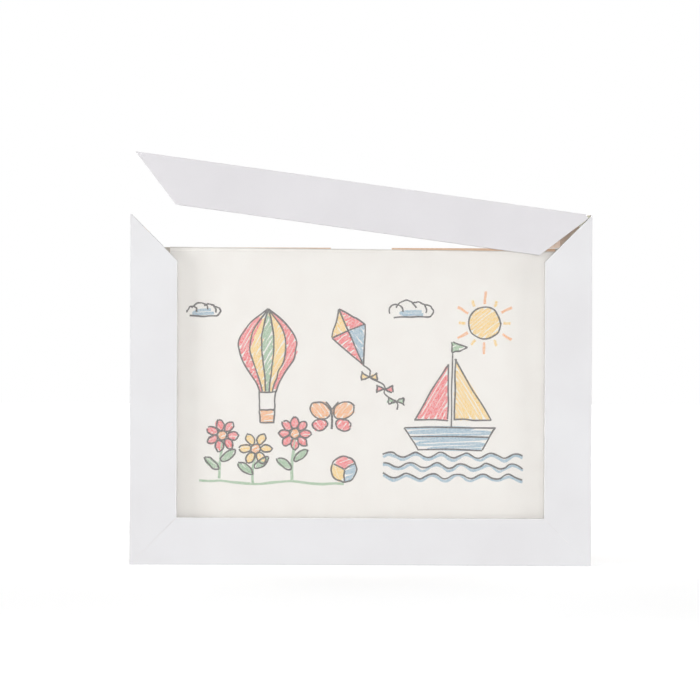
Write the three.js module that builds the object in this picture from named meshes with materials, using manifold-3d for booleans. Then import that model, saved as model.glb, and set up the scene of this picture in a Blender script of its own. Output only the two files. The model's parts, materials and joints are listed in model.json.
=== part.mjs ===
// A white A4 frame for drawings. Its top rail swings up about the outer right-hand corner, so that a sheet
// can be dropped into the pocket behind the clear front. Millimetres, +Z up, the front faces -Y, and the
// origin is the middle of the frame's underside.
import * as THREE from "three";
import { mergeVertices } from "three/addons/utils/BufferGeometryUtils.js";
import Module from "manifold-3d";

// The sheet, how it leans in its pocket, and how far each member covers it
const SHEET_WIDTH = 297;
const SHEET_HEIGHT = 210;
const SHEET_THICKNESS = 0.3;
const SHEET_LEAN_DEG = 0.5;
const SIDE_OVERLAP = 7;
const BOTTOM_OVERLAP = 4;
const TOP_OVERLAP = 8;

// The moulding that all four members are cut from
const MEMBER_WIDTH = 36;
const FRAME_DEPTH = 20;
const LIP_THICKNESS = 8;
const EDGE_RADIUS = 0.4;
const MITRE_GAP = 0.3;

// The layers behind the lip
const GLAZING_THICKNESS = 1.5;
const GLAZING_DROP = 0.6;
const POCKET_DEPTH = 1.8;
const BOARD_THICKNESS = 2.5;
const BOARD_RISE = 2.3;
const RABBET_HEADROOM = 1.7;
const SEAT_GAP = 0.2;
const PACK_CLEARANCE = 0.3;

// The thumb notch in the back board's top edge
const NOTCH_WIDTH = 47;
const NOTCH_DEPTH = 16;
const NOTCH_CORNER = 10;

// The swinging rail and its lap over the tongue of the right stile
const OPEN_ANGLE_DEG = 7.77;
const PIVOT_INSET = 2.6;
const RAIL_LAP_THICKNESS = 8.5;
const LAP_GAP = 1;
const LAP_END_GAP = 0.8;
const TONGUE_CLEARANCE = 0.5;
const TIP_CLEARANCE = 0.3;

// The flat hinge at the corner
const LEAF_WIDTH = 9;
const LEAF_LENGTH = 32;
const LEAF_THICKNESS = 1.2;
const LEAF_INSET = 0.4;
const LEAF_CLEARANCE = 0.3;
const RIVET_RADIUS = 1.1;
const RIVET_HEAD_LIP = 0.8;
const RIVET_HEAD_HEIGHT = 0.6;
const RIVET_CLEARANCE = 0.08;
const WASHER_THICKNESS = 0.5;
const LEAF_SCREW_STEPS = [14, 27];

// Fasteners
const LEAF_SCREW = { head: 2.2, headHeight: 1, shank: 1.2, length: 6, tip: 1.5 };
const SCREW_CLEARANCE = 0.15;
const SCREW_SINK = 0.1;
const V_NAIL_LEG = 6;
const V_NAIL_THICKNESS = 0.8;
const V_NAIL_LENGTH = 10;
const V_NAIL_SINK = 0.3;
const V_NAIL_CLEARANCE = 0.15;
const V_NAIL_STEPS = [7, 15];
const POINT_WIDTH = 8;
const POINT_THICKNESS = 0.6;
const POINT_IN_WOOD = 6;
const POINT_OVER_BOARD = 8;
const POINT_CLEARANCE = 0.15;
const POINT_END_MARGIN = 36;

// The closing magnets in the left mitre
const MAGNET_RADIUS = 4;
const MAGNET_THICKNESS = 3;
const MAGNET_SINK = 0.2;
const MAGNET_CLEARANCE = 0.2;
const MAGNET_STEP = 12;

// The keyhole hangers, bent strips riveted to the back board
const HANGER_WIDTH = 16;
const HANGER_THICKNESS = 1;
const HANGER_FOOT = 9;
const HANGER_RISER_RUN = 2.5;
const HANGER_BRIDGE = 27;
const HANGER_SINK = 0.1;
const HANGER_FROM_SIDE = 45;
const HANGER_BELOW_SIGHT = 34;
const HANGER_RIVET_RADIUS = 1.5;
const HANGER_RIVET_HEAD_LIP = 1.2;
const HANGER_RIVET_HEAD_HEIGHT = 0.6;
const KEYHOLE_RADIUS = 4.5;
const KEYHOLE_SLOT = 4.4;
const KEYHOLE_RISE = 10;

// How finely round things are cut
const EDGE_SEGMENTS = 3;
const CORNER_SEGMENTS = 6;
const ROUND_SEGMENTS = 24;
const PIVOT_SEGMENTS = 48;
const OVERCUT = 2;

// Sizes that follow from the ones above
const RABBET_WIDTH = TOP_OVERLAP + BOARD_RISE + RABBET_HEADROOM;
const SIGHT_WIDTH = SHEET_WIDTH - 2 * SIDE_OVERLAP;
const SIGHT_HEIGHT = SHEET_HEIGHT - BOTTOM_OVERLAP - TOP_OVERLAP;
const OUTER_WIDTH = SIGHT_WIDTH + 2 * MEMBER_WIDTH;
const OUTER_HEIGHT = SIGHT_HEIGHT + 2 * MEMBER_WIDTH;
const LAND_WIDTH = MEMBER_WIDTH - RABBET_WIDTH;
const HALF_TURN = Math.PI;
const QUARTER_TURN = Math.PI / 2;
const EIGHTH_TURN = Math.PI / 4;

const RIGHT = OUTER_WIDTH / 2;
const LEFT = -RIGHT;
const TOP = OUTER_HEIGHT;
const BACK = FRAME_DEPTH / 2;
const FRONT = -BACK;
const SIGHT_BOTTOM = MEMBER_WIDTH;
const SIGHT_TOP = SIGHT_BOTTOM + SIGHT_HEIGHT;

const LIP_BACK = FRONT + LIP_THICKNESS;
const GLAZING_FRONT = LIP_BACK + SEAT_GAP;
const GLAZING_BACK = GLAZING_FRONT + GLAZING_THICKNESS;
const POCKET_FRONT = GLAZING_BACK + SEAT_GAP;
const POCKET_BACK = POCKET_FRONT + POCKET_DEPTH;
const BOARD_FRONT = POCKET_BACK + SEAT_GAP;
const BOARD_BACK = BOARD_FRONT + BOARD_THICKNESS;
const POINT_FRONT = BOARD_BACK + SEAT_GAP;
const POINT_BACK = POINT_FRONT + POINT_THICKNESS;

const RABBET_SIDE = RIGHT - LAND_WIDTH;
const PACK_SIDE = RABBET_SIDE - PACK_CLEARANCE;
const PACK_BOTTOM = LAND_WIDTH + PACK_CLEARANCE;
const SHEET_BOTTOM = SIGHT_BOTTOM - BOTTOM_OVERLAP;
const SHEET_TOP = SHEET_BOTTOM + SHEET_HEIGHT;
const GLAZING_TOP = SHEET_TOP - GLAZING_DROP;
const BOARD_TOP = SHEET_TOP + BOARD_RISE;
const SHEET_LEAN = THREE.MathUtils.degToRad(SHEET_LEAN_DEG);
const SHEET_REACH = (SHEET_WIDTH * Math.cos(SHEET_LEAN) + SHEET_HEIGHT * Math.sin(SHEET_LEAN)) / 2;

const RAIL_LAP_BACK = FRONT + RAIL_LAP_THICKNESS;
const TONGUE_FRONT = RAIL_LAP_BACK + LAP_GAP;
const PIVOT_X = RIGHT - PIVOT_INSET;
const PIVOT_Z = TOP - PIVOT_INSET;
const EYE_RADIUS = PIVOT_INSET - LEAF_INSET;
const RIVET_HEAD_RADIUS = RIVET_RADIUS + RIVET_HEAD_LIP;
const MOVING_LEAF_FRONT = RAIL_LAP_BACK - LEAF_THICKNESS;
const FIXED_LEAF_BACK = TONGUE_FRONT + LEAF_THICKNESS;
const RIVET_FRONT = MOVING_LEAF_FRONT - RIVET_HEAD_HEIGHT;
const RIVET_BACK = FIXED_LEAF_BACK + RIVET_HEAD_HEIGHT;

const HANGER_FOOT_FRONT = BOARD_BACK + SEAT_GAP;
const HANGER_FOOT_BACK = HANGER_FOOT_FRONT + HANGER_THICKNESS;
const HANGER_BRIDGE_BACK = BACK - HANGER_SINK;
const HANGER_BRIDGE_FRONT = HANGER_BRIDGE_BACK - HANGER_THICKNESS;
const HANGER_HALF_HEIGHT = HANGER_BRIDGE / 2 + HANGER_RISER_RUN + HANGER_FOOT;
const HANGER_REACH = PACK_SIDE - HANGER_FROM_SIDE;
const HANGER_Z = SIGHT_TOP - HANGER_BELOW_SIGHT;
const HANGER_RIVET_STEPS = [-1, 1].map((end) => end * (HANGER_HALF_HEIGHT - HANGER_FOOT / 2));

// Finishes
const WHITE_PAINT = new THREE.MeshStandardMaterial({ color: 0xe9e8eb, roughness: 0.45, metalness: 0 });
const HARDBOARD = new THREE.MeshStandardMaterial({ color: 0xb98a64, roughness: 0.8, metalness: 0 });
const CLEAR_SHEET = new THREE.MeshStandardMaterial({
  color: 0xf4f6f6, roughness: 0.08, metalness: 0, transparent: true, opacity: 0.15,
});
const DRAWING_PAPER = new THREE.MeshStandardMaterial({ color: 0xf0ede8, roughness: 0.9, metalness: 0 });
const GREY_CARD = new THREE.MeshStandardMaterial({ color: 0xcfcac2, roughness: 0.9, metalness: 0 });
const ZINC_STEEL = new THREE.MeshStandardMaterial({ color: 0xb4b6b8, roughness: 0.35, metalness: 1 });
const NICKEL = new THREE.MeshStandardMaterial({ color: 0xd2d0ca, roughness: 0.2, metalness: 1 });

const wasm = await Module();
wasm.setup();

// A closed geometry as a solid that can be cut and joined
function solidOf(geometry) {
  const bare = geometry.clone();
  bare.deleteAttribute("normal");
  bare.deleteAttribute("uv");
  const merged = mergeVertices(bare);
  return new wasm.Manifold(new wasm.Mesh({
    numProp: 3,
    vertProperties: merged.getAttribute("position").array,
    triVerts: Uint32Array.from(merged.getIndex().array),
  }));
}

function geometryOf(solid) {
  const mesh = solid.getMesh();
  const geometry = new THREE.BufferGeometry();
  geometry.setAttribute("position", new THREE.BufferAttribute(mesh.vertProperties, 3));
  geometry.setIndex(new THREE.BufferAttribute(mesh.triVerts, 1));
  geometry.computeVertexNormals();
  return geometry;
}

function carve(geometry, cutters) {
  return geometryOf(cutters.reduce((rest, cutter) => rest.subtract(solidOf(cutter)), solidOf(geometry)));
}

function fuse(geometries) {
  return geometryOf(geometries.map(solidOf).reduce((whole, piece) => whole.add(piece)));
}

function block(x0, x1, y0, y1, z0, z1) {
  const box = new THREE.BoxGeometry(x1 - x0, y1 - y0, z1 - z0);
  return box.translate((x0 + x1) / 2, (y0 + y1) / 2, (z0 + z1) / 2);
}

// A flat outline in X and Z given thickness from y0 back to y1
function plate(outline, y0, y1, curveSegments = CORNER_SEGMENTS) {
  const options = { depth: y1 - y0, bevelEnabled: false, curveSegments };
  return new THREE.ExtrudeGeometry(outline, options).rotateX(QUARTER_TURN).translate(0, y1, 0);
}

function roundedOutline(x0, x1, z0, z1, radius) {
  const outline = new THREE.Shape();
  outline.absarc(x1 - radius, z0 + radius, radius, -QUARTER_TURN, 0);
  outline.absarc(x1 - radius, z1 - radius, radius, 0, QUARTER_TURN);
  outline.absarc(x0 + radius, z1 - radius, radius, QUARTER_TURN, HALF_TURN);
  outline.absarc(x0 + radius, z0 + radius, radius, HALF_TURN, HALF_TURN + QUARTER_TURN);
  return outline;
}

// A round bar along Y from y0 back to y1
function bar(radius, x, z, y0, y1, segments) {
  return new THREE.CylinderGeometry(radius, radius, y1 - y0, segments).translate(x, (y0 + y1) / 2, z);
}

// The moulding's section: across runs from the outer face to the sight edge, deep from front to back
function mouldingSection() {
  const section = new THREE.Shape();
  section.absarc(EDGE_RADIUS, EDGE_RADIUS, EDGE_RADIUS, HALF_TURN, HALF_TURN + QUARTER_TURN);
  section.absarc(MEMBER_WIDTH - EDGE_RADIUS, EDGE_RADIUS, EDGE_RADIUS, -QUARTER_TURN, 0);
  section.lineTo(MEMBER_WIDTH, LIP_THICKNESS);
  section.lineTo(LAND_WIDTH, LIP_THICKNESS);
  section.lineTo(LAND_WIDTH, FRAME_DEPTH);
  section.absarc(EDGE_RADIUS, FRAME_DEPTH - EDGE_RADIUS, EDGE_RADIUS, QUARTER_TURN, HALF_TURN);
  return section;
}

// A length of moulding along X with its outer face down, its ends shaped by how far they reach
function moulding(endReach) {
  const options = { depth: 1, bevelEnabled: false, curveSegments: EDGE_SEGMENTS };
  const member = new THREE.ExtrudeGeometry(mouldingSection(), options);
  const position = member.getAttribute("position");
  for (let i = 0; i < position.count; i += 1) {
    const across = position.getX(i);
    const along = position.getZ(i) > 0 ? -endReach(across) : endReach(across);
    position.setXYZ(i, along, FRONT + position.getY(i), across);
  }
  return member;
}

function mitredMember(length) {
  return moulding((across) => length / 2 - across - MITRE_GAP / Math.SQRT2);
}

function squareMember(length) {
  return moulding(() => length / 2);
}

// A screw with its head's flat at height 0 and its point below, or the hole that takes it with clearance
function countersunkScrew(size, clearance) {
  const profile = [
    new THREE.Vector2(0, -size.length - clearance),
    new THREE.Vector2(size.shank + clearance, -size.length + size.tip),
    new THREE.Vector2(size.shank + clearance, -size.headHeight),
    new THREE.Vector2(size.head + clearance, clearance),
    new THREE.Vector2(0, clearance),
  ];
  return new THREE.LatheGeometry(profile, ROUND_SEGMENTS);
}

// A screw whose head lies at y, with its shank running towards the front or the back
function screwAt(size, x, y, z, shankSide, clearance = 0) {
  const screw = countersunkScrew(size, clearance);
  if (shankSide > 0) {
    screw.rotateX(HALF_TURN);
  }
  return screw.translate(x, y, z);
}

// A disc in a face of the left mitre, its middle lying depth below the joint on the side away from facing
function mitreDisc(radius, thickness, facing, depth) {
  const disc = new THREE.CylinderGeometry(radius, radius, thickness, ROUND_SEGMENTS);
  const axis = new THREE.Vector3(facing, 0, facing).normalize();
  disc.applyQuaternion(new THREE.Quaternion().setFromUnitVectors(new THREE.Vector3(0, 1, 0), axis));
  const centre = new THREE.Vector3(LEFT + MAGNET_STEP, 0, TOP - MAGNET_STEP).addScaledVector(axis, -depth);
  return disc.translate(centre.x, centre.y, centre.z);
}

const MAGNET_FLOOR = MITRE_GAP / 2 + MAGNET_SINK + MAGNET_THICKNESS;

function magnet(facing) {
  return mitreDisc(MAGNET_RADIUS, MAGNET_THICKNESS, facing, MAGNET_FLOOR - MAGNET_THICKNESS / 2);
}

function magnetPocket(facing) {
  const floor = MAGNET_FLOOR + MAGNET_CLEARANCE;
  const height = floor + OVERCUT;
  return mitreDisc(MAGNET_RADIUS + MAGNET_CLEARANCE, height, facing, floor - height / 2);
}

// An angled nail across a bottom mitre, one leg in each member, step away from the outer corner
function vNail(side, step, clearance = 0) {
  const inner = step + V_NAIL_THICKNESS + clearance;
  const outer = step - clearance;
  const end = step + V_NAIL_LEG + clearance;
  const outline = new THREE.Shape([
    new THREE.Vector2(outer, outer),
    new THREE.Vector2(end, outer),
    new THREE.Vector2(end, inner),
    new THREE.Vector2(inner, inner),
    new THREE.Vector2(inner, end),
    new THREE.Vector2(outer, end),
  ]);
  const back = BACK - V_NAIL_SINK + (clearance > 0 ? OVERCUT : 0);
  const nail = plate(outline, BACK - V_NAIL_SINK - V_NAIL_LENGTH - clearance, back);
  return side < 0 ? nail.translate(LEFT, 0, 0) : nail.rotateY(-QUARTER_TURN).translate(RIGHT, 0, 0);
}

// Where the steel points enter the rabbet wall: two up each stile, three along the bottom rail
const POINT_LOW = PACK_BOTTOM + POINT_END_MARGIN;
const POINT_HIGH = SIGHT_TOP - POINT_WIDTH;
const POINT_PLACES = [
  { name: "left_low", side: -1, at: POINT_LOW },
  { name: "left_high", side: -1, at: POINT_HIGH },
  { name: "right_low", side: 1, at: POINT_LOW },
  { name: "right_high", side: 1, at: POINT_HIGH },
  { name: "bottom_left", side: 0, at: -(PACK_SIDE - POINT_END_MARGIN) },
  { name: "bottom_middle", side: 0, at: 0 },
  { name: "bottom_right", side: 0, at: PACK_SIDE - POINT_END_MARGIN },
];

function steelPoint(place, clearance = 0) {
  const half = POINT_WIDTH / 2 + clearance;
  const deep = POINT_IN_WOOD + clearance;
  const y0 = POINT_FRONT - clearance;
  const y1 = POINT_BACK + clearance;
  if (place.side === 0) {
    const over = LAND_WIDTH + POINT_OVER_BOARD;
    return block(place.at - half, place.at + half, y0, y1, LAND_WIDTH - deep, over);
  }
  const wall = place.side * RABBET_SIDE;
  const ends = [wall + place.side * deep, wall - place.side * POINT_OVER_BOARD];
  return block(Math.min(...ends), Math.max(...ends), y0, y1, place.at - half, place.at + half);
}

function pointSlots(side) {
  const places = POINT_PLACES.filter((place) => place.side === side);
  return places.map((place) => steelPoint(place, POINT_CLEARANCE));
}

// The hanger's keyhole: a round entry with a slot rising from it
function keyholeOutline(x) {
  const half = KEYHOLE_SLOT / 2;
  const entry = HANGER_Z - KEYHOLE_RISE / 2;
  const lean = Math.asin(half / KEYHOLE_RADIUS);
  const hole = new THREE.Shape();
  hole.absarc(x, entry, KEYHOLE_RADIUS, QUARTER_TURN + lean, 2 * HALF_TURN + QUARTER_TURN - lean);
  hole.absarc(x, entry + KEYHOLE_RISE, half, 0, HALF_TURN);
  return hole;
}

// The bent strip's edge, as height against depth: a foot, a riser, the bridge, a riser and a foot
function hangerSection() {
  const rise = HANGER_BRIDGE_FRONT - HANGER_FOOT_FRONT;
  const bend = HANGER_THICKNESS * Math.tan(Math.atan2(rise, HANGER_RISER_RUN) / 2);
  const bridge = HANGER_BRIDGE / 2;
  const riser = bridge + HANGER_RISER_RUN;
  const corners = [
    [HANGER_HALF_HEIGHT, HANGER_FOOT_FRONT, HANGER_FOOT_BACK, 0],
    [riser, HANGER_FOOT_FRONT, HANGER_FOOT_BACK, bend],
    [bridge, HANGER_BRIDGE_FRONT, HANGER_BRIDGE_BACK, bend],
  ];
  const upperFront = corners.map(([z, front]) => new THREE.Vector2(z, front));
  const upperBack = corners.map(([z, , back, out]) => new THREE.Vector2(z + out, back));
  const flip = (point) => new THREE.Vector2(-point.x, point.y);
  const front = [...upperFront, ...upperFront.map(flip).reverse()];
  const back = [...upperBack.map(flip), ...upperBack.reverse()];
  return new THREE.Shape([...front, ...back]);
}

function hangerBracket(side) {
  const x = side * HANGER_REACH;
  const strip = new THREE.ExtrudeGeometry(hangerSection(), { depth: HANGER_WIDTH, bevelEnabled: false });
  strip.rotateY(-QUARTER_TURN).translate(x + HANGER_WIDTH / 2, 0, HANGER_Z);
  return carve(strip, [
    plate(keyholeOutline(x), HANGER_FOOT_BACK, BACK + OVERCUT, ROUND_SEGMENTS),
    ...HANGER_RIVET_STEPS.map((step) => hangerRivetHole(side, step)),
  ]);
}

function hangerRivetHole(side, step) {
  const radius = HANGER_RIVET_RADIUS + RIVET_CLEARANCE;
  return bar(radius, side * HANGER_REACH, HANGER_Z + step, FRONT, BACK + OVERCUT, ROUND_SEGMENTS);
}

// A rivet along Y whose two heads stand just clear of what lies from y0 to y1
function rivetProfile(radius, headRadius, headHeight, y0, y1) {
  const play = LEAF_CLEARANCE / 2;
  return [
    new THREE.Vector2(0, y0 - headHeight),
    new THREE.Vector2(headRadius, y0 - headHeight),
    new THREE.Vector2(headRadius, y0 - play),
    new THREE.Vector2(radius, y0 - play),
    new THREE.Vector2(radius, y1 + play),
    new THREE.Vector2(headRadius, y1 + play),
    new THREE.Vector2(headRadius, y1 + headHeight),
    new THREE.Vector2(0, y1 + headHeight),
  ];
}

function hangerRivet(side, step) {
  const headRadius = HANGER_RIVET_RADIUS + HANGER_RIVET_HEAD_LIP;
  const profile = rivetProfile(
    HANGER_RIVET_RADIUS, headRadius, HANGER_RIVET_HEAD_HEIGHT, BOARD_FRONT, HANGER_FOOT_BACK,
  );
  const rivet = new THREE.LatheGeometry(profile, ROUND_SEGMENTS);
  return rivet.translate(side * HANGER_REACH, 0, HANGER_Z + step);
}

// The two leaves share one outer corner, rounded about the pivot
const LEAF_OUTER_X = RIGHT - LEAF_INSET;
const LEAF_OUTER_Z = TOP - LEAF_INSET;

function pivotHole(clearance) {
  const radius = RIVET_RADIUS + clearance;
  return bar(radius, PIVOT_X, PIVOT_Z, FRONT, BACK, PIVOT_SEGMENTS);
}

// A block that stands for everything to the right of X = 0
function halfSpace() {
  return block(0, OUTER_WIDTH, FRONT - OVERCUT, BACK + OVERCUT, -OUTER_WIDTH, OUTER_WIDTH);
}

// Everything on the right stile's side of the top right mitre, grown by gap over the joint
function beyondMitre(gap) {
  return halfSpace().translate(-gap, 0, 0).rotateY(EIGHTH_TURN).translate(PIVOT_X, 0, PIVOT_Z);
}

// Everything past the line square to the mitre through the pivot, which the turning tip must not hold
function pastPivot() {
  return halfSpace().translate(-TIP_CLEARANCE, 0, 0).rotateY(-EIGHTH_TURN).translate(PIVOT_X, 0, PIVOT_Z);
}

function fixedLeafScrew(step, clearance) {
  const x = LEAF_OUTER_X - LEAF_WIDTH / 2;
  return screwAt(LEAF_SCREW, x, TONGUE_FRONT + SCREW_SINK, LEAF_OUTER_Z - step, 1, clearance);
}

function movingLeafScrew(step, clearance) {
  const z = LEAF_OUTER_Z - LEAF_WIDTH / 2;
  return screwAt(LEAF_SCREW, LEAF_OUTER_X - step, RAIL_LAP_BACK - SCREW_SINK, z, -1, clearance);
}

function fixedLeaf() {
  const outline = roundedOutline(
    LEAF_OUTER_X - LEAF_WIDTH, LEAF_OUTER_X, LEAF_OUTER_Z - LEAF_LENGTH, LEAF_OUTER_Z, EYE_RADIUS,
  );
  const sinks = LEAF_SCREW_STEPS.map((step) => fixedLeafScrew(step, SCREW_CLEARANCE));
  return carve(plate(outline, TONGUE_FRONT, FIXED_LEAF_BACK), [pivotHole(RIVET_CLEARANCE), ...sinks]);
}

function movingLeaf() {
  const outline = roundedOutline(
    LEAF_OUTER_X - LEAF_LENGTH, LEAF_OUTER_X, LEAF_OUTER_Z - LEAF_WIDTH, LEAF_OUTER_Z, EYE_RADIUS,
  );
  const strip = carve(plate(outline, MOVING_LEAF_FRONT, RAIL_LAP_BACK), [beyondMitre(LEAF_CLEARANCE)]);
  const eye = bar(EYE_RADIUS, PIVOT_X, PIVOT_Z, MOVING_LEAF_FRONT, RAIL_LAP_BACK, PIVOT_SEGMENTS);
  const sinks = LEAF_SCREW_STEPS.map((step) => movingLeafScrew(step, SCREW_CLEARANCE));
  return carve(fuse([strip, eye]), [pivotHole(RIVET_CLEARANCE), ...sinks]);
}

function hingeRivet() {
  const profile = rivetProfile(
    RIVET_RADIUS, RIVET_HEAD_RADIUS, RIVET_HEAD_HEIGHT, MOVING_LEAF_FRONT, FIXED_LEAF_BACK,
  );
  return new THREE.LatheGeometry(profile, PIVOT_SEGMENTS).translate(PIVOT_X, 0, PIVOT_Z);
}

function thrustWasher() {
  const middle = (RAIL_LAP_BACK + TONGUE_FRONT) / 2;
  const half = WASHER_THICKNESS / 2;
  const disc = bar(RIVET_HEAD_RADIUS, PIVOT_X, PIVOT_Z, middle - half, middle + half, PIVOT_SEGMENTS);
  return carve(disc, [pivotHole(RIVET_CLEARANCE)]);
}

// Room for a leaf, a rivet head or an eye at the outer corner, open to both outer faces
function cornerNotch(reachX, reachZ, y0, y1) {
  return block(RIGHT - reachX, RIGHT + OVERCUT, y0, y1, TOP - reachZ, TOP + OVERCUT);
}

const HEAD_REACH = PIVOT_INSET + RIVET_HEAD_RADIUS + LEAF_CLEARANCE;
const EYE_REACH = PIVOT_INSET + EYE_RADIUS + LEAF_CLEARANCE;
const LEAF_REACH_ACROSS = LEAF_INSET + LEAF_WIDTH + LEAF_CLEARANCE;
const LEAF_REACH_ALONG = LEAF_INSET + LEAF_LENGTH + LEAF_CLEARANCE;

function leftStile() {
  const stile = mitredMember(OUTER_HEIGHT).rotateY(QUARTER_TURN).translate(LEFT, 0, TOP / 2);
  return carve(stile, [
    magnetPocket(1),
    ...V_NAIL_STEPS.map((step) => vNail(-1, step, V_NAIL_CLEARANCE)),
    ...pointSlots(-1),
  ]);
}

function standOnRight(member) {
  return member.rotateY(-QUARTER_TURN).translate(RIGHT, 0, TOP / 2);
}

// The tongue behind the top rail's end: the moulding's land carried up square, and a head over the back
// board that leaves the way out of the pocket free
function tongue() {
  const head = block(
    RIGHT - MEMBER_WIDTH, RABBET_SIDE + OVERCUT, BOARD_FRONT, BACK, BOARD_TOP + TONGUE_CLEARANCE, TOP,
  );
  const wide = MEMBER_WIDTH + OVERCUT;
  const land = carve(standOnRight(squareMember(OUTER_HEIGHT)), [
    block(RIGHT - wide, RIGHT + OVERCUT, FRONT - OVERCUT, TONGUE_FRONT, -OVERCUT, TOP + OVERCUT),
    block(RIGHT - wide, RIGHT + OVERCUT, FRONT, BACK + OVERCUT, -OVERCUT, TOP - wide),
  ]);
  return fuse([land, head]);
}

function rightStile() {
  return carve(fuse([standOnRight(mitredMember(OUTER_HEIGHT)), tongue()]), [
    cornerNotch(LEAF_REACH_ACROSS, LEAF_REACH_ALONG, TONGUE_FRONT, FIXED_LEAF_BACK + LEAF_CLEARANCE),
    cornerNotch(HEAD_REACH, HEAD_REACH, TONGUE_FRONT, RIVET_BACK + LEAF_CLEARANCE),
    cornerNotch(EYE_REACH, EYE_REACH, RIVET_FRONT - LEAF_CLEARANCE, FIXED_LEAF_BACK),
    ...LEAF_SCREW_STEPS.map((step) => fixedLeafScrew(step, SCREW_CLEARANCE)),
    ...V_NAIL_STEPS.map((step) => vNail(1, step, V_NAIL_CLEARANCE)),
    ...pointSlots(1),
  ]);
}

function bottomRail() {
  const nails = [-1, 1].flatMap((side) => V_NAIL_STEPS.map((step) => vNail(side, step, V_NAIL_CLEARANCE)));
  return carve(mitredMember(OUTER_WIDTH), [...nails, ...pointSlots(0)]);
}

// The top rail, shut: its right end keeps only a front layer, which laps over the tongue
function topRail() {
  const rail = mitredMember(OUTER_WIDTH).rotateY(HALF_TURN).translate(0, 0, TOP);
  const lapEnd = RIGHT - MEMBER_WIDTH - LAP_END_GAP;
  const leafSeat = MOVING_LEAF_FRONT - LEAF_CLEARANCE;
  return carve(rail, [
    block(lapEnd, RIGHT + OVERCUT, RAIL_LAP_BACK, BACK + OVERCUT, SIGHT_TOP - OVERCUT, TOP + OVERCUT),
    cornerNotch(LEAF_REACH_ALONG, LEAF_REACH_ACROSS, leafSeat, RAIL_LAP_BACK + OVERCUT),
    cornerNotch(HEAD_REACH, HEAD_REACH, RIVET_FRONT - LEAF_CLEARANCE, RAIL_LAP_BACK),
    ...LEAF_SCREW_STEPS.map((step) => movingLeafScrew(step, SCREW_CLEARANCE)),
    pastPivot(),
    magnetPocket(-1),
  ]);
}

// The sheet leans to the right, on its lower right corner
function pictureSheet() {
  const front = POCKET_FRONT + SEAT_GAP;
  const halfWidth = SHEET_WIDTH / 2;
  const halfHeight = SHEET_HEIGHT / 2;
  const sheet = block(-halfWidth, halfWidth, front, front + SHEET_THICKNESS, -halfHeight, halfHeight);
  const rise = halfWidth * Math.sin(SHEET_LEAN) + halfHeight * Math.cos(SHEET_LEAN);
  return sheet.rotateY(SHEET_LEAN).translate(0, 0, SHEET_BOTTOM + rise);
}

// The back board, its thumb notch in the middle of the top edge
function backBoard() {
  const board = block(-PACK_SIDE, PACK_SIDE, BOARD_FRONT, BOARD_BACK, PACK_BOTTOM, BOARD_TOP);
  const half = NOTCH_WIDTH / 2;
  const notch = roundedOutline(-half, half, BOARD_TOP - NOTCH_DEPTH, BOARD_TOP + NOTCH_DEPTH, NOTCH_CORNER);
  return carve(board, [
    plate(notch, BOARD_FRONT - OVERCUT, BOARD_BACK + OVERCUT),
    ...[-1, 1].flatMap((side) => HANGER_RIVET_STEPS.map((step) => hangerRivetHole(side, step))),
  ]);
}

function sideSpacer(side) {
  const ends = [side * PACK_SIDE, side * (SHEET_REACH + PACK_CLEARANCE)];
  return block(Math.min(...ends), Math.max(...ends), POCKET_FRONT, POCKET_BACK, PACK_BOTTOM, BOARD_TOP);
}

function piece(name, geometry, material) {
  const mesh = new THREE.Mesh(geometry, material);
  mesh.name = name;
  return mesh;
}

const frame = new THREE.Group();
frame.add(
  piece("left_stile", leftStile(), WHITE_PAINT),
  piece("right_stile", rightStile(), WHITE_PAINT),
  piece("bottom_rail", bottomRail(), WHITE_PAINT),
);

// The clear front, the sheet, its pocket and the back board
const spacerTop = SHEET_BOTTOM - SEAT_GAP;
frame.add(
  piece(
    "clear_front",
    block(-PACK_SIDE, PACK_SIDE, GLAZING_FRONT, GLAZING_BACK, PACK_BOTTOM, GLAZING_TOP),
    CLEAR_SHEET,
  ),
  piece("picture_sheet", pictureSheet(), DRAWING_PAPER),
  piece("spacer_left", sideSpacer(-1), GREY_CARD),
  piece("spacer_right", sideSpacer(1), GREY_CARD),
  piece(
    "spacer_bottom",
    block(-SHEET_REACH, SHEET_REACH, POCKET_FRONT, POCKET_BACK, PACK_BOTTOM, spacerTop),
    GREY_CARD,
  ),
  piece("back_board", backBoard(), HARDBOARD),
);

for (const place of POINT_PLACES) {
  frame.add(piece(`board_point_${place.name}`, steelPoint(place), ZINC_STEEL));
}
for (const [sideName, side] of [["left", -1], ["right", 1]]) {
  V_NAIL_STEPS.forEach((step, i) => {
    frame.add(piece(`v_nail_${sideName}_${i + 1}`, vNail(side, step), ZINC_STEEL));
  });
  frame.add(piece(`hanger_bracket_${sideName}`, hangerBracket(side), ZINC_STEEL));
  HANGER_RIVET_STEPS.forEach((step, i) => {
    frame.add(piece(`hanger_rivet_${sideName}_${i + 1}`, hangerRivet(side, step), ZINC_STEEL));
  });
}

// The fixed half of the hinge
frame.add(
  piece("stile_magnet", magnet(1), NICKEL),
  piece("fixed_hinge_leaf", fixedLeaf(), ZINC_STEEL),
  piece("hinge_rivet", hingeRivet(), ZINC_STEEL),
  piece("hinge_washer", thrustWasher(), ZINC_STEEL),
);
LEAF_SCREW_STEPS.forEach((step, i) => {
  frame.add(piece(`fixed_leaf_screw_${i + 1}`, fixedLeafScrew(step), ZINC_STEEL));
});

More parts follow.
